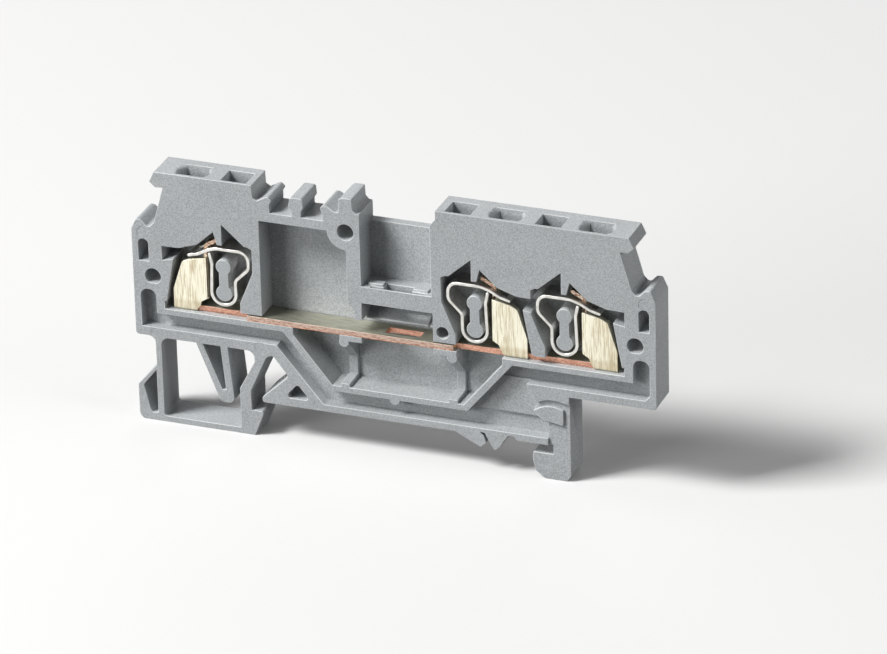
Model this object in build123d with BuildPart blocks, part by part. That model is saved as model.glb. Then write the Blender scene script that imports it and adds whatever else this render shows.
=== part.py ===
from build123d import *
import os

os.makedirs("parts", exist_ok=True)

# Spring clamp terminal block, three clamps on one level, for a 35 mm top-hat rail.
# Millimetres. X runs along the block, Y along the rail, Z up.
# The origin lies on the rail's seat, midway across the rail and midway through the block.

# Overall sizes
pitch = 4.2
block_length = 60.5
block_centre = -0.75
top_z = 26.1
lip_z = 18.9
end_bottom_z = 6.15
foot_bottom_z = -4.2
back_wall = 1.1
channel_depth = 1.4
raised_step = 0.3

# Rail that the foot fits
rail_width = 35.0
rail_lip = 1.0
rail_fit = 0.05
hook_gap = 0.15

# Housing walls
ribbon = 0.72
foot_wall = 0.7
latch_web = 1.3
column = 1.65
tongue = 0.95
bar_gap = 0.15
top_wall = 0.35
hole_back_wall = 0.1

# Clamps: the posts carry everything that belongs to a clamp
post_inset = 10.53
clamp_step = 10.25
post_upper = 5.8
post_lower = 2.65
post_upper_radius = 0.89
post_lower_radius = 0.95
post_neck = 1.1
post_setback = 0.5
driver_hole = 2.95
driver_offset = -1.65
wire_hole_radius = 1.8
wire_offset = 3.5
wire_taper = 3
funnel = 0.3

# Jumper shaft between the clamps
shaft_width = 8.1
shaft_floor_z = 15.85
shaft_back_z = 22.5
web = 2.0
jumper_slot = 3.25
jumper_slot_front = 0.2
jumper_slot_back = 1.6
side_slot = 1.45
floor_pad_length = 1.7
floor_pad_depth = 0.9
floor_pad_height = 0.3

# Current bar
bar_seat_z = 9.7
bar_thickness = 0.65
bar_back_gap = 0.1
narrow_setback = 0.8
flap_setback = 0.5
bend_radius = 0.25
hook_thickness = 0.45
hook_setback = 0.9
hook_width = 1.45
slot_length = 4.0
slot_width = 1.4
slot_setback = 0.75

# Clamp springs
spring_thickness = 0.35
spring_setback = 0.4
spring_back_gap = 0.2
window_width = 1.6
window_length = 1.75
window_start = 1.85

# Small holes, and the ramp behind the jumper's contacts
boss_radius = 2.15
boss_hole_radius = 0.95
column_hole_radius = 0.7
plug_hole_inset = 2.35
plug_hole_z = 13.45
plug_hole_radius = 0.93
plug_hole_flat = 0.26
ramp_reach = 1.65
ramp_rise = 0.85
ramp_lip = 0.2
ramp_slit = 0.25

# Ribs that prop the bar over the dip
rib_thickness = 1.0
rib_rod_radius = 0.57
lug_step = 0.3

# Sizes that follow
cavity = pitch - back_wall
spring_width = cavity - spring_setback - spring_back_gap
left_end = block_centre - block_length / 2
right_end = block_centre + block_length / 2
post_right = right_end - post_inset
post_middle = post_right - clamp_step
post_left = left_end + post_inset
shaft_right = post_middle - 4.77
shaft_left = shaft_right - shaft_width
recess_right = shaft_left - column
recess_left = post_left + 4.6
rail_half = rail_width / 2 + rail_fit
wall_bottom_z = bar_seat_z + bar_thickness + bar_gap
web_bottom_z = shaft_floor_z - web
tongue_z = web_bottom_z - 2.1
boss_z = shaft_back_z - 0.45
hook_z = -rail_lip - hook_gap

open_side = Plane.XZ.offset(pitch / 2)
back_side = Plane.XZ.offset(-pitch / 2)

clamps = {
    "clamp_spring_left": (post_left, -1),
    "clamp_spring_middle": (post_middle, 1),
    "clamp_spring_right": (post_right, 1),
}


def face_from(corners, mode=Mode.ADD):
    # Each corner is (x, z) or (x, z, radius).
    points = [corner[:2] for corner in corners]
    radii = [corner[2] if len(corner) == 3 else 0 for corner in corners]
    with BuildLine() as border:
        FilletPolyline(*points, radius=radii, close=True)
    make_face(border.edges(), mode=mode)


def at_post(post, side, corners):
    # A clamp's shape is given from its post towards its wire hole, and up from the bar's seat.
    return [(post + side * corner[0], bar_seat_z + corner[1], *corner[2:]) for corner in corners]


def from_end(end, side, steps):
    return [(end + side * step[0], *step[1:]) for step in steps]


def end_profile(end, side):
    # Claw for a marker carrier and the lip under it, from the top down.
    steps = [
        (2.95, top_z),
        (2.38, top_z - 1.2),
        (3.05, top_z - 1.84),
        (3.95, top_z - 1.8),
        (2.72, lip_z + 1.08),
        (2.05, lip_z + 0.36, 0.4),
        (1.22, lip_z + 1.2),
        (0.6, lip_z + 1.3, 0.3),
        (0, lip_z),
    ]
    return from_end(end, side, steps)


# Marker grooves and the ridge between them, from the left head to the shaft
marker_profile = [
    (shaft_left - 12.45, top_z),
    (shaft_left - 12.4, top_z - 1.44),
    (shaft_left - 11.88, top_z - 1.78, 0.2),
    (shaft_left - 10.6, top_z - 1.08, 0.3),
    (shaft_left - 10.12, top_z - 1.56, 0.2),
    (shaft_left - 10.42, top_z - 2.02),
    (shaft_left - 10.42, top_z - 3.02),
    (shaft_left - 7.85, top_z - 3.02),
    (shaft_left - 7.85, top_z - 2.34),
    (shaft_left - 8.18, top_z - 1.89),
    (shaft_left - 8.0, top_z - 0.81, 0.3),
    (shaft_left - 6.55, top_z - 0.81, 0.3),
    (shaft_left - 6.47, top_z - 1.89),
    (shaft_left - 6.75, top_z - 2.34),
    (shaft_left - 6.75, top_z - 3.02),
    (shaft_left - 4.23, top_z - 3.02),
    (shaft_left - 4.23, top_z - 2.34),
    (shaft_left - 4.5, top_z - 1.56),
    (shaft_left - 4.2, top_z - 1.2),
    (shaft_left - 3.75, top_z - 1.2),
    (shaft_left - 2.85, top_z - 1.78),
    (shaft_left - 2.35, top_z - 1.78, 0.2),
    (shaft_left - 2.35, top_z - 0.27),
    (shaft_left - 1.95, top_z),
    (shaft_left - 0.85, top_z),
    (shaft_left - 0.78, top_z - 1.26),
    (shaft_left - 0.4, top_z - 1.67),
    (shaft_left, top_z - 1.71),
]

# Seat on the rail, from right to left: fixed hook, two barbs that grip beside the rail's wall
fixed_foot = [
    (rail_half + 2.0, end_bottom_z),
    (rail_half + 2.0, foot_bottom_z, 0.9),
    (rail_half - 1.0, foot_bottom_z, 0.4),
    (rail_half - 2.1, foot_bottom_z + 0.81),
    (rail_half - 2.4, hook_z - 0.77),
    (rail_half - 2.3, hook_z),
    (rail_half, hook_z),
    (rail_half, 0),
    (rail_half - 4.15, 0),
    (rail_half - 4.45, 0.45),
    (rail_half - 5.05, 0.41),
    (rail_half - 5.65, -0.41),
    (rail_half - 6.05, -1.12),
    (rail_half - 6.68, -1.62, 0.2),
    (rail_half - 7.55, -0.14),
    (rail_half - 7.8, 0.36),
    (rail_half - 8.35, 0.36),
    (rail_half - 7.9, 0),
    (rail_half - 7.63, -0.81),
    (rail_half - 8.29, -1.46, 0.2),
    (rail_half - 11.2, 0),
]

# Limb over the rail's lip, then the sprung latch
latch_foot = [
    (1.35 - rail_half, 0, 0.3),
    (1.35 - rail_half, 0.63, 0.3),
    (4.55 - rail_half, 3.6, 0.4),
    (2.69 - rail_half, 5.94, 0.5),
    (1.95 - rail_half, 5.49, 0.4),
    (-rail_half, 1.17, 0.6),
    (-rail_half, hook_z),
    (1.55 - rail_half, hook_z, 0.3),
    (0.35 - rail_half, foot_bottom_z, 0.3),
]

outer_foot = from_end(left_end, 1, [
    (0, foot_bottom_z, 0.8),
    (0, 0, 0.3),
    (2.3, 2.66),
    (2.3, end_bottom_z, 0.8),
    (0, end_bottom_z, 0.4),
])

right_head = [
    (shaft_left, shaft_back_z),
    (shaft_right, shaft_back_z),
    (shaft_right, top_z - 1.8),
    (shaft_right + 0.65, top_z - 0.99),
    (shaft_right + 0.65, top_z),
]

housing_outline = (
    end_profile(left_end, 1)[::-1]
    + marker_profile
    + right_head
    + end_profile(right_end, -1)
    + [(right_end, end_bottom_z, 0.4)]
    + fixed_foot
    + latch_foot
    + outer_foot
)

# Pocket of one clamp, with the slope that guides the driver and the nose between the two holes
clamp_pocket = [
    (-2.05, 0),
    (-2.05, 2.0),
    (-3.62, 5.77),
    (-3.62, 8.6),
    (-3.1, 8.87),
    (-2.75, 8.87),
    (-0.15, 11.16),
    (-0.15, 8.64),
    (0.45, 8.64),
    (0.85, 10.12),
    (2.8, 8.33),
    (5.0, 7.6),
    (7.0, 7.56),
    (7.0, 5.89),
    (5.7, 6.15),
    (6.65, 0.95),
    (6.9, 0.95),
    (6.9, 0),
]

# Ribbon wall that carries the bar: straight under the clamps, dipping between them
ribbon_z = bar_seat_z - ribbon
dip_z = 3.4
dip_pocket = [
    (5.25 - rail_half, wall_bottom_z),
    (5.25 - rail_half, bar_seat_z - 0.85, 0.3),
    (9.69 - rail_half, dip_z),
    (rail_half - 10.13, dip_z),
    (rail_half - 5.6, bar_seat_z - 0.85, 0.3),
    (rail_half - 5.6, wall_bottom_z),
]
channel_bottom_z = 7.25
channel_top_z = 11.8
channel = (
    from_end(left_end, 1, [
        (0.8, channel_bottom_z),
        (0.8, channel_top_z, 0.85),
        (2.63, channel_top_z, 0.85),
        (2.63, ribbon_z),
    ])
    + [
        (4.05 - rail_half, ribbon_z),
        (9.25 - rail_half, dip_z - ribbon),
        (rail_half - 9.7, dip_z - ribbon),
        (rail_half - 4.45, ribbon_z),
    ]
    + from_end(right_end, -1, [
        (2.6, ribbon_z),
        (2.6, channel_top_z, 0.85),
        (0.75, channel_top_z, 0.85),
        (0.75, channel_bottom_z + 0.41),
        (1.3, channel_bottom_z - 0.14),
    ])
    + [
        (rail_half - 2.8, channel_bottom_z - 0.14),
        (rail_half - 2.65, 6.12),
        (rail_half - 1.65, 4.95),
        (rail_half - 2.1, 4.0),
        (rail_half - 1.09, 2.88),
        (rail_half - 0.5, 2.88),
        (rail_half - 0.5, 0.85),
        (8.55 - rail_half, 0.85),
        (3.25 - rail_half, channel_bottom_z),
    ]
)

# Raised field of the channel's floor between the dip and the lug
raised_field = [
    (rail_half - 10.0, 2.8),
    (rail_half - 1.09, 2.8),
    (rail_half - 1.65, 4.95),
    (rail_half - 2.8, channel_bottom_z - 0.14),
    (rail_half - 6.8, channel_bottom_z - 0.14),
]

# Mushroom lug on the fixed side of the foot, standing proud of the foot's stepped front
lug = [
    (rail_half - 2.1, 4.0),
    (rail_half - 1.09, 2.88),
    (rail_half - 0.45, 2.93),
    (rail_half + 1.12, 2.61),
    (rail_half + 1.3, 2.75),
    (rail_half + 1.3, 4.46),
    (rail_half - 0.45, 5.04, 3.0),
]
stepped_front = [
    (rail_half - 2.15, 3.96),
    (rail_half - 1.65, 5.0),
    (rail_half - 0.35, 5.62, 3.0),
    (rail_half + 3.0, 5.04),
    (rail_half + 3.0, foot_bottom_z - 0.9),
    (rail_half - 3.0, foot_bottom_z - 0.9),
    (rail_half - 3.0, hook_z + 0.27),
    (rail_half - 0.5, hook_z + 0.27),
    (rail_half - 0.5, 2.9),
]

# Openings that go right through: the latch pocket, the hole of the outer claw, the strut's triangle
latch_pocket = [
    (left_end + 2.3 + foot_wall, 6.08, 0.9),
    (0.55 - rail_half, 6.08, 0.8),
    (0.55 - rail_half, 4.77, 0.6),
    (-latch_web - rail_half, 1.26, 0.6),
    (-latch_web - rail_half, foot_bottom_z + foot_wall, 0.2),
    (left_end + 2.3 + foot_wall, foot_bottom_z + foot_wall, 0.4),
]
claw_hole = from_end(left_end, 1, [
    (2.25, 2.02),
    (0.65, 0),
    (1.3, -2.79, 0.2),
    (1.6, -3.29, 0.2),
    (2.25, -3.24, 0.2),
])
strut_hole = [
    (5.55 - rail_half, 2.79, 0.3),
    (7.05 - rail_half, 1.03, 0.3),
    (4.05 - rail_half, 1.03, 0.3),
]
finger = from_end(left_end, 1, [
    (7.05, 6.3),
    (9.85, -0.72, 0.7),
    (11.5, -0.72, 0.7),
    (10.85, 6.3),
])
finger_gap = from_end(left_end, 1, [
    (7.9, 6.08),
    (10.05, 0.85),
    (10.5, 0.85),
    (10.0, 6.08),
])

shaft_centre = (shaft_left + shaft_right) / 2
rib_places = (shaft_left - 2.2, shaft_right + 2.25)
rib_profile = [
    (cavity, dip_z - ribbon / 2),
    (0, dip_z - ribbon / 2),
    (0, dip_z + 0.41),
    (cavity - 0.45, dip_z + 0.5),
    (cavity - 0.45, 5.99),
    (0, bar_seat_z - 0.86),
    (0, bar_seat_z - 0.36),
    (cavity, bar_seat_z - 0.36),
]

ramp_z = web_bottom_z - 2.45
slit_left = shaft_right - 1.0
ramp_profile = [
    (cavity + 0.1, ramp_z),
    (cavity - ramp_reach, ramp_z),
    (cavity - ramp_reach, ramp_z + ramp_lip),
    (cavity, ramp_z + ramp_lip + ramp_rise),
    (cavity + 0.1, ramp_z + ramp_lip + ramp_rise),
]

end_slot = [
    (0.75, 15.21),
    (0.75, 17.82, 0.55),
    (1.95, 17.82, 0.55),
    (1.95, 15.21),
]

hole_length = cavity - top_wall - hole_back_wall
hole_y = -pitch / 2 + top_wall + hole_length / 2

with BuildPart() as housing:
    with BuildSketch(back_side):
        face_from(housing_outline)
    extrude(amount=pitch)

    # Pockets that the back wall closes
    with BuildSketch(open_side):
        face_from([
            (recess_left, bar_seat_z),
            (recess_left, shaft_back_z - 0.54),
            (recess_right, shaft_back_z - 0.54),
            (recess_right, bar_seat_z),
        ])
        face_from([
            (shaft_left, shaft_floor_z),
            (shaft_left, shaft_back_z + 0.9),
            (shaft_right, shaft_back_z + 0.9),
            (shaft_right, shaft_floor_z),
        ])
        face_from([
            (shaft_left, bar_seat_z),
            (shaft_left, web_bottom_z),
            (shaft_right + 0.1, web_bottom_z),
            (shaft_right + 0.1, bar_seat_z),
        ])
        face_from([
            (recess_right, bar_seat_z),
            (recess_right, tongue_z + 1.75),
            (shaft_left - tongue, tongue_z + 1.2),
            (shaft_left - tongue, tongue_z),
            (shaft_left, tongue_z),
            (shaft_left, bar_seat_z),
        ])
        face_from([
            (post_left - 6.9, bar_seat_z),
            (post_left - 6.9, wall_bottom_z),
            (post_right + 6.9, wall_bottom_z),
            (post_right + 6.9, bar_seat_z),
        ])
        face_from(dip_pocket)
        for post, side in clamps.values():
            face_from(at_post(post, side, clamp_pocket))
    extrude(amount=-cavity, mode=Mode.SUBTRACT)

    # Channel round the clamps and the dip, less deep than the pockets
    with BuildSketch(open_side):
        face_from(channel)
    extrude(amount=-channel_depth, mode=Mode.SUBTRACT)
    with BuildSketch(open_side.offset(-channel_depth)):
        face_from(raised_field)
    extrude(amount=raised_step)

    # Boss round the hole in the recess's corner, and the half-round bump under the ribbon
    with BuildSketch(back_side):
        with Locations((recess_right, boss_z)):
            Circle(boss_radius)
        with Locations((shaft_left, boss_z)):
            Rectangle(boss_radius, 2 * boss_radius, align=(Align.MIN, Align.CENTER), mode=Mode.SUBTRACT)
        with Locations((shaft_centre - 0.5, dip_z - ribbon)):
            Circle(0.6)
        for rib_x in rib_places:
            with Locations((rib_x, bar_seat_z - 0.9)):
                Circle(rib_rod_radius)
            with Locations((rib_x + (0.8 if rib_x < 0 else -0.8), bar_seat_z - 0.36)):
                Rectangle(2.6, 0.72)
    extrude(amount=pitch)

    # Ribs that prop the bar over the dip
    for rib_x in rib_places:
        with BuildSketch(Plane.YZ.offset(rib_x)):
            with BuildLine() as rib_line:
                Polyline([(y - pitch / 2, z) for y, z in rib_profile], close=True)
            make_face(rib_line.edges())
        extrude(amount=rib_thickness / 2, both=True)

    # Posts that the clamp springs hang on
    with BuildSketch(back_side.offset(back_wall)):
        for post, side in clamps.values():
            with Locations((post, bar_seat_z + post_upper)):
                Circle(post_upper_radius)
            with Locations((post, bar_seat_z + post_lower)):
                Circle(post_lower_radius)
            with Locations((post, bar_seat_z + (post_upper + post_lower) / 2)):
                Rectangle(post_neck, post_upper - post_lower)
    extrude(amount=cavity - post_setback)

    # Ramp on the back wall that leads the jumper's contacts forward, with a slit near its right end
    for start, end in ((shaft_left - 0.1, slit_left), (slit_left + ramp_slit, shaft_right + 0.2)):
        with BuildSketch(Plane.YZ.offset(start)):
            with BuildLine() as ramp_line:
                Polyline([(y - pitch / 2, z) for y, z in ramp_profile], close=True)
            make_face(ramp_line.edges())
        extrude(amount=end - start)

    # Stepped front of the fixed foot round its lug
    with BuildSketch(open_side):
        face_from(stepped_front)
        face_from(lug, mode=Mode.SUBTRACT)
    extrude(amount=-lug_step, mode=Mode.SUBTRACT)

    # Holes right through
    with BuildSketch(open_side):
        face_from(latch_pocket)
        face_from(finger, mode=Mode.SUBTRACT)
        face_from(finger_gap)
        face_from(claw_hole)
        face_from(strut_hole)
        with Locations((recess_right, boss_z)):
            Circle(boss_hole_radius)
        with Locations((shaft_right + 1.2, bar_seat_z + 1.98)):
            Circle(column_hole_radius)
        for end, side in ((left_end, 1), (right_end, -1)):
            face_from(from_end(end, side, end_slot))
            with Locations((end + side * plug_hole_inset, plug_hole_z)):
                Circle(plug_hole_radius)
            with Locations((end + side * plug_hole_inset, plug_hole_z - plug_hole_radius)):
                Rectangle(2 * plug_hole_radius, plug_hole_flat, mode=Mode.SUBTRACT)
    extrude(amount=-pitch, mode=Mode.SUBTRACT)

    # Slots in the shaft's floor for the jumper, and the low pads beside them
    with BuildSketch(Plane.XY.offset(shaft_floor_z)):
        with Locations((shaft_centre, (jumper_slot_front + jumper_slot_back - pitch) / 2)):
            Rectangle(jumper_slot, jumper_slot_back - jumper_slot_front)
        with Locations((shaft_centre, -pitch / 2 + jumper_slot_front)):
            Rectangle(jumper_slot + 2 * side_slot, 0.35, align=(Align.CENTER, Align.MIN))
    extrude(amount=-web, mode=Mode.SUBTRACT)
    with BuildSketch(Plane.XY.offset(shaft_floor_z)):
        for side in (-1, 1):
            with Locations((shaft_centre + side * (jumper_slot / 2 + 0.95), -pitch / 2 + 1.1)):
                Rectangle(floor_pad_length, floor_pad_depth)
    extrude(amount=floor_pad_height)

    # Driver holes and funnelled wire holes, from the top down to the clamp pockets
    with BuildSketch(Plane.XY.offset(top_z)):
        for post, side in clamps.values():
            with Locations((post + side * driver_offset, hole_y)):
                Rectangle(driver_hole, hole_length)
    extrude(amount=-(top_z - bar_seat_z - 8.87), mode=Mode.SUBTRACT)
    with BuildSketch(Plane.XY.offset(top_z)):
        for post, side in clamps.values():
            with Locations((post + side * wire_offset, hole_y)):
                Circle(wire_hole_radius)
        with Locations((block_centre, hole_y)):
            Rectangle(block_length, hole_length, mode=Mode.INTERSECT)
    extrude(amount=-(top_z - bar_seat_z - 7.5), taper=wire_taper, mode=Mode.SUBTRACT)
    head_tops = housing.faces().filter_by_position(Axis.Z, top_z, top_z)
    mouths = [mouth for top in head_tops for mouth in top.inner_wires()]
    mouth_edges = ShapeList(edge for mouth in mouths for edge in mouth.edges())
    chamfer(mouth_edges.filter_by(GeomType.CIRCLE), funnel)

housing.part.label = "housing"
export_step(housing.part, "parts/housing.step")

# Current bar, stamped and bent from one strip
flap = [
    (2.0, 6.62),
    (4.1, 6.21),
    (4.9, 5.79, 0.4),
    (6.0, 2.43),
    (6.0, 0),
    (3.4, 0),
    (2.85, 0.81),
    (2.74, 1.26),
    (2.0, 1.71),
]
hook_line = [
    (2.2, 1.71),
    (2.2, 7.96),
    (0.85, 8.73),
]
hook_radius = 0.6
wide_left = recess_left - 1.83
wide_right = shaft_right + 2.4
bar_back_y = -pitch / 2 + cavity - bar_back_gap
narrow_y = -pitch / 2 + narrow_setback

with BuildPart() as current_bar:
    with BuildSketch(Plane.XY.offset(bar_seat_z)):
        face_from([
            (wide_left, -pitch / 2),
            (wide_right, -pitch / 2),
            (wide_right, bar_back_y),
            (wide_left, bar_back_y),
        ])
        face_from([
            (post_left - 6.0, narrow_y),
            (post_right + 6.0, narrow_y),
            (post_right + 6.0, bar_back_y),
            (post_left - 6.0, bar_back_y),
        ])
        with Locations((shaft_centre + 0.3, -pitch / 2 + slot_setback + slot_width / 2)):
            Rectangle(slot_length, slot_width, mode=Mode.SUBTRACT)
    extrude(amount=bar_thickness)
    with BuildSketch(open_side.offset(-flap_setback)):
        for post, side in clamps.values():
            face_from(at_post(post, side, flap))
    extrude(amount=-bar_thickness)
    with BuildSketch(open_side.offset(-hook_setback)):
        for post, side in clamps.values():
            with BuildLine() as hook:
                FilletPolyline(*at_post(post, side, hook_line), radius=hook_radius)
                offset(amount=hook_thickness / 2, side=Side.BOTH)
            make_face(hook.edges())
    extrude(amount=-hook_width)
    flap_feet = (
        current_bar.edges()
        .filter_by(Axis.X)
        .filter_by_position(Axis.Z, bar_seat_z, bar_seat_z)
        .filter_by_position(Axis.Y, flap_setback - pitch / 2, flap_setback - pitch / 2)
    )
    fillet(flap_feet, bend_radius)

current_bar.part.label = "current_bar"
export_step(current_bar.part, "parts/current_bar.step")

# Clamp springs: lip, top leg with its window, shoulder, loop round the post, leg back up to the top leg
spring_line = [
    (4.0, 6.75),
    (2.95, 7.02),
    (1.9, 7.6),
    (0.8, 7.96),
    (-3.0, 7.96),
    (-3.0, 5.95),
    (-1.4, 4.38),
    (-1.42, 1.3),
    (1.5, 1.3),
    (1.3, 6.03),
    (1.55, 7.2),
]
spring_y = -pitch / 2 + spring_setback + spring_width / 2
spring_radii = [0.8, 1.0, 1.5, 1.1, 0.9, 0.8, 1.4, 1.4, 1.0]

for name, (post, side) in clamps.items():
    with BuildPart() as spring:
        with BuildSketch(open_side.offset(-spring_setback)):
            with BuildLine() as strip:
                FilletPolyline(*at_post(post, side, spring_line), radius=spring_radii)
                offset(amount=spring_thickness / 2, side=Side.BOTH)
            make_face(strip.edges())
        extrude(amount=-spring_width)
        with BuildSketch(Plane.XY.offset(bar_seat_z + 8.2)):
            with Locations((post + side * (window_start + window_length / 2), spring_y)):
                Rectangle(window_length, window_width)
        extrude(amount=-1.55, mode=Mode.SUBTRACT)
    spring.part.label = name
    export_step(spring.part, f"parts/{name}.step")
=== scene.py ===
import math
import bmesh
import bpy
from mathutils import Matrix, Vector


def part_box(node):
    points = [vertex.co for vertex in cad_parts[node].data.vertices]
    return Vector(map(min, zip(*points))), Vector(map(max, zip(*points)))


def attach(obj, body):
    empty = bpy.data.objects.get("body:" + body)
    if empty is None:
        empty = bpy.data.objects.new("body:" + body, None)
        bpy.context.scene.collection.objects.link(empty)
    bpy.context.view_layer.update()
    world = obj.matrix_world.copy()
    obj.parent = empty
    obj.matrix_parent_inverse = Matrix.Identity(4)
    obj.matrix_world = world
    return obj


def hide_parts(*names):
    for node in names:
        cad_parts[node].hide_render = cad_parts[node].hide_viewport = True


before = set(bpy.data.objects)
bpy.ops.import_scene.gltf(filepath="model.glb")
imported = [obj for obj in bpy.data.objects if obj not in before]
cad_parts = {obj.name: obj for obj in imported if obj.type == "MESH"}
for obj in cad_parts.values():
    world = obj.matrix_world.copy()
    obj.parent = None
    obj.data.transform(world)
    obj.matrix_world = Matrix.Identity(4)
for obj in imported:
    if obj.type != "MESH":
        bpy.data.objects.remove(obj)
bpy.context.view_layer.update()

# Spring clamp terminal block: the moulded housing, its current bar and three clamp springs.
# The block stands on its foot, with the open side at -Y. Lengths are metres, most of them written as
# millimetres times mm, and angles in the dictionaries are degrees.

mm = 0.001
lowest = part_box("housing")[0]
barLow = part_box("current_bar")[0]


class Signal:
    # A node's socket that Python's own operators work on.
    def __init__(self, bench, socket):
        self.bench = bench
        self.socket = socket

    def maths(self, operation, *values):
        return self.bench.node("ShaderNodeMath", {"operation": operation}, dict(enumerate(values)))

    def __add__(self, other):
        return self.maths("ADD", self, other)

    def __radd__(self, other):
        return self.maths("ADD", other, self)

    def __sub__(self, other):
        return self.maths("SUBTRACT", self, other)

    def __rsub__(self, other):
        return self.maths("SUBTRACT", other, self)

    def __mul__(self, other):
        return self.maths("MULTIPLY", self, other)

    def __rmul__(self, other):
        return self.maths("MULTIPLY", other, self)

    def __abs__(self):
        return self.maths("ABSOLUTE", self)

    def ease(self, start, end):
        # 0 below start, 1 above end, smooth between them
        settings = {"interpolation_type": "SMOOTHSTEP"}
        sockets = {"Value": self, "From Min": start, "From Max": end}
        return self.bench.node("ShaderNodeMapRange", settings, sockets)

    def blend(self, low, high):
        # this signal is the factor between two colours
        settings = {"data_type": "RGBA", "blend_type": "MIX"}
        return self.bench.node("ShaderNodeMix", settings, {0: self, 6: low, 7: high}, out=2)

    def axis(self, name):
        return self.bench.node("ShaderNodeSeparateXYZ", {}, {"Vector": self}, out=name)


class Bench:
    # Where nodes are made and wired, for a material or for geometry.
    def __init__(self, tree):
        self.tree = tree

    def node(self, kind, settings=None, sockets=None, out=0):
        made = self.tree.nodes.new(kind)
        for setting, value in (settings or {}).items():
            setattr(made, setting, value)
        for socket, value in (sockets or {}).items():
            if isinstance(value, Signal):
                self.tree.links.new(value.socket, made.inputs[socket])
            else:
                made.inputs[socket].default_value = value
        return Signal(self, made.outputs[out]) if made.outputs else made


class Finish(Bench):
    # One material with a Principled shader.
    def __init__(self, name, **fixed):
        self.material = bpy.data.materials.new(name)
        self.material.use_nodes = True
        super().__init__(self.material.node_tree)
        self.shader = self.tree.nodes["Principled BSDF"]
        for socket, value in fixed.items():
            self.shader.inputs[socket.replace("_", " ")].default_value = value
        self.place = self.node("ShaderNodeTexCoord", out="Object")

    def feed(self, **signals):
        for socket, signal in signals.items():
            self.tree.links.new(signal.socket, self.shader.inputs[socket.replace("_", " ")])

    def grain(self, perMm, detail, roughness=0.5, stretch=(1, 1, 1)):
        # noise with perMm cells to the millimetre; a stretch below 1 draws them out along that axis
        place = self.node("ShaderNodeMapping", {}, {"Vector": self.place, "Scale": stretch})
        sockets = {"Vector": place, "Scale": perMm / mm, "Detail": detail, "Roughness": roughness}
        return self.node("ShaderNodeTexNoise", {}, sockets)

    def bump(self, height, distance, strength):
        sockets = {"Height": height, "Distance": distance, "Strength": strength}
        return self.node("ShaderNodeBump", {}, sockets)

    def note(self, name):
        # a number that mesh code stored on the piece
        return self.node("ShaderNodeAttribute", {"attribute_name": name}, {}, out="Fac")


# How every piece's mesh is cleaned, rounded and shaded.
meshing = {
    "weld": 0.0004 * mm,
    "flatWithin": 0.4,
    "edgeSegments": 2,
    # shares of the full radius, tried in turn, and how many times the radius a face has to reach
    "radiusSteps": (1.0, 0.6, 0.3, 0.15),
    "faceRoom": 2.2,
    "areaWeight": 80,
}


def mergedCopy(nodeName, pieceName):
    # One closed mesh from the node's loose triangles, flat faces made whole again.
    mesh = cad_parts[nodeName].data.copy()
    mesh.name = pieceName
    mesh.materials.clear()
    shape = bmesh.new()
    shape.from_mesh(mesh)
    bmesh.ops.remove_doubles(shape, verts=shape.verts, dist=meshing["weld"])
    flat = math.radians(meshing["flatWithin"])
    bmesh.ops.dissolve_limit(shape, angle_limit=flat, verts=shape.verts, edges=shape.edges)
    shape.to_mesh(mesh)
    shape.free()
    piece = bpy.data.objects.new(pieceName, mesh)
    bpy.context.collection.objects.link(piece)
    return piece


def applied(piece):
    # The piece as its modifiers leave it, as a plain mesh.
    seen = piece.evaluated_get(bpy.context.evaluated_depsgraph_get())
    mesh = bpy.data.meshes.new_from_object(seen)
    piece.modifiers.clear()
    piece.data = mesh
    return piece


def keptInside(piece, nodeName):
    # no corner stands proud of the box of the node that the piece replaces
    low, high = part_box(nodeName)
    for corner in piece.data.vertices:
        corner.co = [min(max(value, least), most) for value, least, most in zip(corner.co, low, high)]


def hasRoom(face, edge, distance):
    # whether the face reaches further than distance from its edge
    start = edge.verts[0].co
    along = (edge.verts[1].co - start).normalized()
    return any((corner.co - start).cross(along).length > distance for corner in face.verts)


def largestShare(edge, width):
    # the largest share of the radius that both faces have room for, or none
    for share in meshing["radiusSteps"]:
        if all(hasRoom(face, edge, share * width * meshing["faceRoom"]) for face in edge.link_faces):
            return share
    return 0.0


def weighOuterEdges(piece, look):
    # Only edges that stand out get a radius, and a smaller one beside a face that is too narrow for it.
    shape = bmesh.new()
    shape.from_mesh(piece.data)
    weight = shape.edges.layers.float.new("bevel_weight_edge")
    sharp = math.radians(look["roundAbove"])
    for edge in shape.edges:
        if len(edge.link_faces) == 2 and edge.calc_face_angle_signed(0) > sharp:
            edge[weight] = largestShare(edge, look["edge"])
    shape.to_mesh(piece.data)
    shape.free()


def softenEdges(piece, look):
    # The bevel gives its faces the second material slot, which tells them apart afterwards.
    weighOuterEdges(piece, look)
    bevel = piece.modifiers.new("edges", "BEVEL")
    bevel.width = look["edge"]
    bevel.segments = meshing["edgeSegments"]
    bevel.limit_method = "WEIGHT"
    bevel.use_clamp_overlap = False
    bevel.material = 1
    piece.data.materials.append(None)
    piece.data.materials.append(None)
    applied(piece)
    rounded = piece.data.attributes.new("rounded", "FLOAT", "CORNER")
    for face in piece.data.polygons:
        for corner in face.loop_indices:
            rounded.data[corner].value = float(face.material_index == 1)
        face.material_index = 0
    while len(piece.data.materials) > 1:
        piece.data.materials.pop()


def smoothShade(piece, look):
    piece.data.shade_smooth()
    piece.data.set_sharp_from_angle(angle=math.radians(look["smoothBelow"]))
    weighted = piece.modifiers.new("shading", "WEIGHTED_NORMAL")
    weighted.keep_sharp = True
    weighted.weight = meshing["areaWeight"]
    applied(piece)


def standFor(piece, nodeName, finish):
    keptInside(piece, nodeName)
    piece.data.materials.clear()
    piece.data.materials.append(finish.material)
    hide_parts(nodeName)
    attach(piece, "root")


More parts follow.
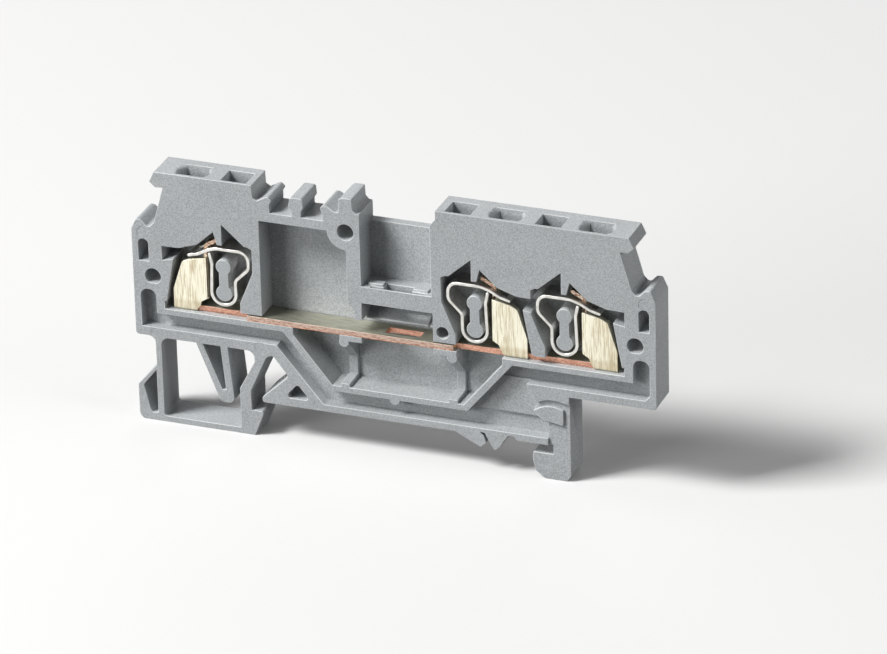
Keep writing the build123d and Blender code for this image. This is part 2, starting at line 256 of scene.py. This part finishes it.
housingLook = {
    "edge": 0.065 * mm,
    "roundAbove": 50,
    "smoothBelow": 38,
    "grey": (0.44, 0.46, 0.47, 1),
    "speckGrey": (0.285, 0.30, 0.305, 1),
    # rounded outer edges are painted lighter: partly whitened plastic, partly a painted highlight
    "edgeWhiteningAndHighlightGrey": (0.60, 0.62, 0.62, 1),
    "edgeWhiteningAndHighlightShare": 0.6,
    "spark": {"perMm": 7.5, "detail": 3.0, "roughness": 0.8},
    "cloud": {"perMm": 0.16, "detail": 2.0},
    "cloudShare": 0.1,
    "speckle": (0.42, 0.58),
    "roughness": 0.43,
    "sparkRoughness": 0.25,
    "textureDepth": 0.02 * mm,
    "textureStrength": 0.6,
    # x, z and radius in mm of the round marks that ejector pins leave on the open side
    "pins": [
        (-29.6, 18.6, 0.75),
        (28.3, 18.45, 0.75),
        (-28.7, 6.66, 0.5),
        (-16.2, 6.57, 0.75),
        (-9.7, 0.63, 0.5),
    ],
    "pinDepth": 0.03 * mm,
    "pinSides": 40,
}


def mouldedGrey(look):
    finish = Finish("mouldedGrey", IOR=1.5)
    spark = finish.grain(**look["spark"])
    cloud = finish.grain(**look["cloud"])
    mottle = spark * (1 - look["cloudShare"]) + cloud * look["cloudShare"]
    colour = mottle.ease(*look["speckle"]).blend(look["speckGrey"], look["grey"])
    # the rounded faces get the lighter grey, partly as whitened plastic and partly as a painted
    # highlight
    colour = (finish.note("rounded") * look["edgeWhiteningAndHighlightShare"]).blend(colour, look["edgeWhiteningAndHighlightGrey"])
    finish.feed(Base_Color=colour, Roughness=spark * look["sparkRoughness"] + look["roughness"])
    finish.feed(Normal=finish.bump(spark, look["textureDepth"], look["textureStrength"]))
    return finish


def geometryTree(name, inputs):
    # The bench of a new geometry tree, and its named inputs.
    tree = bpy.data.node_groups.new(name, "GeometryNodeTree")
    for label, kind in inputs.items():
        tree.interface.new_socket(label, in_out="INPUT", socket_type=kind)
    tree.interface.new_socket("Geometry", in_out="OUTPUT", socket_type="NodeSocketGeometry")
    bench = Bench(tree)
    given = tree.nodes.new("NodeGroupInput")
    return bench, {label: Signal(bench, given.outputs[label]) for label in inputs}


def runTree(piece, bench, values):
    # The piece as the tree makes it, with the tree's named inputs set.
    modifier = piece.modifiers.new(bench.tree.name, "NODES")
    modifier.node_group = bench.tree
    for item in bench.tree.interface.items_tree:
        if item.in_out == "INPUT" and item.name in values:
            modifier[item.identifier] = values[item.name]
    return applied(piece)


def pinPlaces(look):
    # one point for each pin, on the open side, with the pin's radius
    mesh = bpy.data.meshes.new("pinPlaces")
    mesh.from_pydata([(x * mm, lowest.y, z * mm) for x, z, pinRadius in look["pins"]], [], [])
    radii = mesh.attributes.new("pinRadius", "FLOAT", "POINT")
    for place, (x, z, pinRadius) in zip(radii.data, look["pins"]):
        place.value = pinRadius * mm
    places = bpy.data.objects.new("pinCutters", mesh)
    bpy.context.collection.objects.link(places)
    return places


def pinCutters(look, finish):
    # One short round cutter at each point, facing along Y, with half of its height in the housing.
    bench, given = geometryTree("pinCutters", {
        "Geometry": "NodeSocketGeometry",
        "Depth": "NodeSocketFloat",
        "Sides": "NodeSocketInt",
        "Material": "NodeSocketMaterial",
    })
    radius = bench.node("GeometryNodeInputNamedAttribute", {"data_type": "FLOAT"}, {"Name": "pinRadius"})
    size = bench.node("ShaderNodeCombineXYZ", {}, {"X": radius, "Y": radius, "Z": given["Depth"] * 2})
    sockets = {"Vertices": given["Sides"], "Radius": 1.0, "Depth": 1.0}
    disc = bench.node("GeometryNodeMeshCylinder", {}, sockets)
    points = bench.node("GeometryNodeMeshToPoints", {}, {"Mesh": given["Geometry"]})
    turned = bench.node("FunctionNodeEulerToRotation", {}, {"Euler": (math.pi / 2, 0, 0)})
    sockets = {"Points": points, "Instance": disc, "Rotation": turned, "Scale": size}
    placed = bench.node("GeometryNodeInstanceOnPoints", {}, sockets)
    solid = bench.node("GeometryNodeRealizeInstances", {}, {"Geometry": placed})
    sockets = {"Geometry": solid, "Material": given["Material"]}
    painted = bench.node("GeometryNodeSetMaterial", {}, sockets)
    bench.node("NodeGroupOutput", {}, {"Geometry": painted})
    values = {"Depth": look["pinDepth"], "Sides": look["pinSides"], "Material": finish.material}
    return runTree(pinPlaces(look), bench, values)


def sinkPins(piece, cutters):
    sunk = piece.modifiers.new("pins", "BOOLEAN")
    sunk.operation = "DIFFERENCE"
    sunk.solver = "EXACT"
    sunk.object = cutters
    applied(piece)
    bpy.data.objects.remove(cutters)


housingGrey = mouldedGrey(housingLook)
housingShell = mergedCopy("housing", "housingShell")
sinkPins(housingShell, pinCutters(housingLook, housingGrey))
softenEdges(housingShell, housingLook)
smoothShade(housingShell, housingLook)
standFor(housingShell, "housing", housingGrey)
print("housing:", len(housingShell.data.polygons), "faces")


barLook = {
    "edge": 0.035 * mm,
    "roundAbove": 30,
    "smoothBelow": 36,
    "tin": (0.94, 0.91, 0.75, 1),
    "streak": (0.60, 0.51, 0.34, 1),
    # a duller copy of the tin for level faces: painted reflection of the grey housing
    "levelTinPaintedReflection": (0.64, 0.63, 0.53, 1),
    "levelStreakPaintedReflection": (0.47, 0.46, 0.37, 1),
    "burnished": (0.56, 0.43, 0.36, 1),
    "copper": (0.74, 0.42, 0.31, 1),
    "darkCopper": (0.30, 0.15, 0.10, 1),
    # brush lines, up the flaps and along the strip, and the grain of torn copper
    "linesUp": {"perMm": 9.0, "detail": 3.0, "roughness": 0.6, "stretch": (1, 1, 0.05)},
    "bandsUp": {"perMm": 1.6, "detail": 2.0, "roughness": 0.6, "stretch": (1, 1, 0.12)},
    "linesAlong": {"perMm": 9.0, "detail": 3.0, "roughness": 0.6, "stretch": (0.06, 1, 1)},
    "torn": {"perMm": 6.0, "detail": 3.0, "roughness": 0.7, "stretch": (0.5, 1, 1.4)},
    # from which to which value of the noise one colour turns into the other
    "streaksUp": (0.34, 0.56),
    "streaksAlong": (0.35, 0.6),
    "tornPatches": (0.32, 0.66),
    "shearedPatches": (0.40, 0.54),
    # cream patches on the cut edges above the strip: partly tin left there, partly painted highlight
    "tinAndHighlightPatches": (0.47, 0.55),
    "scratchWidth": 0.02,
    # shares, from 0 to 1
    "bandShare": 0.28,
    "scratchShade": 0.35,
    # how much painted shade darkens each flap towards its foot, where it bends into the strip
    "footPaintedShade": 0.45,
    "shearedShade": 0.7,
    "tinAndHighlightCover": 0.8,
    "roughness": 0.22,
    "brushRoughness": 0.3,
    "cutRoughness": 0.2,
    "flatRoughness": 0.16,
    "brushDepth": 0.006 * mm,
    "brushStrength": 0.8,
    # heights above the bar's lowest face, in mm
    "tornEdge": (0.2, 0.34),
    "tornWaver": 0.25,
    "stripTop": 0.65,
    "aboveStrip": (0.9, 1.2),
    "flapFoot": (0.9, 1.5),
    "hookFoot": 6.9,
    # depths behind the bar's front edge, in mm
    "inside": (0.2, 0.5),
    "slot": (0.75, 2.15),
    "narrowFront": 0.8,
    "wallFront": 0.9,
    # how near a face has to be to one of these places, in mm
    "slack": 0.05,
    # x of the stretch of strip without flaps, which holds the slot, in mm
    "betweenFlaps": (-9.0, 6.0),
    # a face is upright below the first share of its normal along Z, and level above the second
    "level": (0.5, 0.8),
    # the least share of the normal along -Y on a face that looks to the front
    "frontal": 0.6,
}


def fromPlace(start, span):
    # two places in metres, from a pair in mm that is counted from start
    return [start + step * mm for step in span]


def tinnedCopper(look):
    finish = Finish("tinnedCopper", Metallic=1.0)
    facing = finish.node("ShaderNodeNewGeometry", out="Normal")
    height = finish.place.axis("Z")
    upright = 1 - abs(facing.axis("Z")).ease(*look["level"])

    # tin, bright and streaked on the flaps; level faces get a duller, greyer copy, a painted reflection
    # of the grey housing
    bands = finish.grain(**look["bandsUp"])
    brushUp = finish.grain(**look["linesUp"]) * (1 - look["bandShare"]) + bands * look["bandShare"]
    brushAlong = finish.grain(**look["linesAlong"])
    # the flaps are painted darker towards their foot: painted shade at the bend
    foot = 1 - height.ease(*fromPlace(barLow.z, look["flapFoot"]))
    # a scratch runs where the bands' noise crosses its middle
    scratch = 1 - abs(bands - 0.5).ease(0.0, look["scratchWidth"])
    shine = brushUp.ease(*look["streaksUp"]) - foot * look["footPaintedShade"] - scratch * look["scratchShade"]
    flapTin = shine.blend(look["streak"], look["tin"])
    levelPaintedReflectionTin = brushAlong.ease(*look["streaksAlong"]).blend(look["levelStreakPaintedReflection"], look["levelTinPaintedReflection"])
    tin = upright.blend(levelPaintedReflectionTin, flapTin)

    # copper, torn in the lower part of the strip's edge, sheared clean above it and burnished in front
    torn = finish.grain(**look["torn"])
    inside = finish.place.axis("Y").ease(*fromPlace(barLow.y, look["inside"]))
    clean = inside.blend(look["burnished"], look["copper"])
    patch = torn.ease(*look["shearedPatches"]) * look["shearedShade"] + (1 - look["shearedShade"])
    clean = patch.blend(look["darkCopper"], clean)
    rough = torn.ease(*look["tornPatches"]).blend(look["darkCopper"], look["copper"])
    aboveStrip = height.ease(*fromPlace(barLow.z, look["aboveStrip"]))
    aboveTorn = (height + torn * look["tornWaver"] * mm).ease(*fromPlace(barLow.z, look["tornEdge"]))
    copper = (aboveTorn - aboveStrip).blend(rough, clean)

    # above the strip, patches of tin are left on the cut edges; they are also painted highlights on the
    # hooks and wall edges
    bare = finish.note("cutEdge") * (1 - aboveStrip * torn.ease(*look["tinAndHighlightPatches"]) * look["tinAndHighlightCover"])
    flat = 1 - upright
    brush = upright * brushUp + flat * brushAlong
    matt = brush * look["brushRoughness"] + bare * look["cutRoughness"] + flat * look["flatRoughness"]
    finish.feed(Base_Color=bare.blend(tin, copper), Roughness=matt + look["roughness"])
    finish.feed(Normal=finish.bump(brush, look["brushDepth"], look["brushStrength"]))
    return finish


def isCut(face, look):
    # whether the strip was stamped through to bare copper at this face
    above = (face.center.z - barLow.z) / mm
    behind = (face.center.y - barLow.y) / mm
    slack = look["slack"]
    slotFront, slotBack = look["slot"]
    left, right = look["betweenFlaps"]
    mostUpright, leastLevel = look["level"]
    frontal = face.normal.y < -look["frontal"]
    inStrip = above < look["stripTop"] + slack
    onStripEdge = inStrip and frontal and (behind < slack or abs(behind - look["narrowFront"]) < slack)
    besideSlot = left < face.center.x / mm < right and slotFront - slack < behind < slotBack + slack
    inSlot = inStrip and besideSlot and abs(face.normal.z) < mostUpright
    onWallEdge = frontal and abs(behind - look["wallFront"]) < slack
    onHook = face.normal.z > leastLevel and above > look["hookFoot"] and behind > look["narrowFront"]
    return onStripEdge or inSlot or onWallEdge or onHook


def markCutEdges(piece, look):
    cut = piece.data.attributes.new("cutEdge", "FLOAT", "CORNER")
    for face in piece.data.polygons:
        value = float(isCut(face, look))
        for corner in face.loop_indices:
            cut.data[corner].value = value


contactBar = mergedCopy("current_bar", "contactBar")
softenEdges(contactBar, barLook)
smoothShade(contactBar, barLook)
markCutEdges(contactBar, barLook)
standFor(contactBar, "current_bar", tinnedCopper(barLook))
print("current bar:", len(contactBar.data.polygons), "faces")


springLook = {
    "edge": 0.055 * mm,
    "roundAbove": 34,
    "smoothBelow": 38,
    "steel": (0.78, 0.77, 0.73, 1),
    "dullSteel": (0.66, 0.65, 0.61, 1),
    "rolled": {"perMm": 4.0, "detail": 2.0, "stretch": (0.3, 1, 0.3)},
    "dullPatches": (0.35, 0.6),
    "roughness": 0.25,
    "rolledRoughness": 0.2,
    "rollingDepth": 0.003 * mm,
    "rollingStrength": 0.1,
}


def rolledSteel(look):
    finish = Finish("rolledSteel", Metallic=1.0)
    rolled = finish.grain(**look["rolled"])
    finish.feed(Base_Color=rolled.ease(*look["dullPatches"]).blend(look["dullSteel"], look["steel"]))
    finish.feed(Roughness=rolled * look["rolledRoughness"] + look["roughness"])
    finish.feed(Normal=finish.bump(rolled, look["rollingDepth"], look["rollingStrength"]))
    return finish


springSteel = rolledSteel(springLook)
for side in ("left", "middle", "right"):
    strip = mergedCopy("clamp_spring_" + side, "clampSpring_" + side)
    softenEdges(strip, springLook)
    smoothShade(strip, springLook)
    standFor(strip, "clamp_spring_" + side, springSteel)
print("clamp springs: 3")


studio = {
    "floorGrey": (0.69, 0.688, 0.68, 1),
    "floorRoughness": 0.9,
    "floorSize": 6.0,
    "paper": {"perMm": 0.02, "detail": 3.0},
    "paperShade": 1.01,
    "worldGrey": (0.97, 0.98, 1.0, 1),
    "worldStrength": 0.13,
    # what every lamp faces, then each lamp's place, width and height, and power in watts
    "lampAim": (0, 0, 0.012),
    "lamps": {
        "fillLight": ((-0.82, -0.92, 0.33), (0.6, 0.3), 7.0),
        "sideLight": ((1.0, -0.1, 0.3), (0.5, 0.4), 3.6),
        "backLight": ((-0.3, 1.2, 0.3), (0.8, 0.3), 2.5),
        "keyLight": ((-0.68, -0.48, 0.90), (0.36, 0.36), 20.5),
    },
}


def paleFloor(settings):
    finish = Finish("paleFloor", Roughness=settings["floorRoughness"])
    paper = finish.grain(**settings["paper"])
    lighter = [min(1.0, value * settings["paperShade"]) for value in settings["floorGrey"]]
    finish.feed(Base_Color=paper.blend(settings["floorGrey"], lighter))
    mesh = bpy.data.meshes.new("floor")
    half = settings["floorSize"] / 2
    corners = [(-half, -half), (half, -half), (half, half), (-half, half)]
    mesh.from_pydata([(x, y, lowest.z) for x, y in corners], [], [(0, 1, 2, 3)])
    mesh.materials.append(finish.material)
    floor = bpy.data.objects.new("floor", mesh)
    floor.visible_diffuse = False
    bpy.context.collection.objects.link(floor)


def softLight(name, place, size, power, aim):
    lamp = bpy.data.lights.new(name, "AREA")
    lamp.shape = "RECTANGLE"
    lamp.size, lamp.size_y = size
    lamp.energy = power
    light = bpy.data.objects.new(name, lamp)
    bpy.context.collection.objects.link(light)
    light.location = place
    light.rotation_euler = (Vector(aim) - Vector(place)).to_track_quat("-Z", "Y").to_euler()


def paleWorld(settings):
    world = bpy.data.worlds.new("studio")
    bpy.context.scene.world = world
    world.use_nodes = True
    background = world.node_tree.nodes["Background"]
    background.inputs["Color"].default_value = settings["worldGrey"]
    background.inputs["Strength"].default_value = settings["worldStrength"]


paleWorld(studio)
paleFloor(studio)
for lampName, (place, size, power) in studio["lamps"].items():
    softLight(lampName, place, size, power, studio["lampAim"])

# The camera's place as the photo has it: azimuth from straight in front, towards +X, and lens in mm.
view = {
    "azimuth": 21.43,
    "elevation": 26.05,
    "roll": -1.46,
    "distance": 0.7074,
    "aim": (0.00448, 0.0, 0.01135),
    "lens": 265.8,
    "sensor": 36,
    "clip": (0.01, 20),
}


def photoCamera(settings):
    azimuth = math.radians(settings["azimuth"])
    elevation = math.radians(settings["elevation"])
    roll = math.radians(settings["roll"])
    level = Vector((math.sin(azimuth), -math.cos(azimuth), 0))
    back = level * math.cos(elevation) + Vector((0, 0, math.sin(elevation)))
    right = (-back).cross(Vector((0, 0, 1))).normalized()
    up = right.cross(-back)
    tiltedRight = right * math.cos(roll) + up * math.sin(roll)
    tiltedUp = up * math.cos(roll) - right * math.sin(roll)
    turn = Matrix((tiltedRight, tiltedUp, back)).transposed().to_4x4()
    place = Vector(settings["aim"]) + back * settings["distance"]
    data = bpy.data.cameras.new("photoCamera")
    data.sensor_width = settings["sensor"]
    data.lens = settings["lens"]
    data.clip_start, data.clip_end = settings["clip"]
    camera = bpy.data.objects.new("photoCamera", data)
    bpy.context.collection.objects.link(camera)
    camera.matrix_world = Matrix.Translation(place) @ turn
    bpy.context.scene.camera = camera


photoCamera(view)
bpy.context.scene.view_settings.view_transform = "Standard"
print("floor, lights and camera are in place")
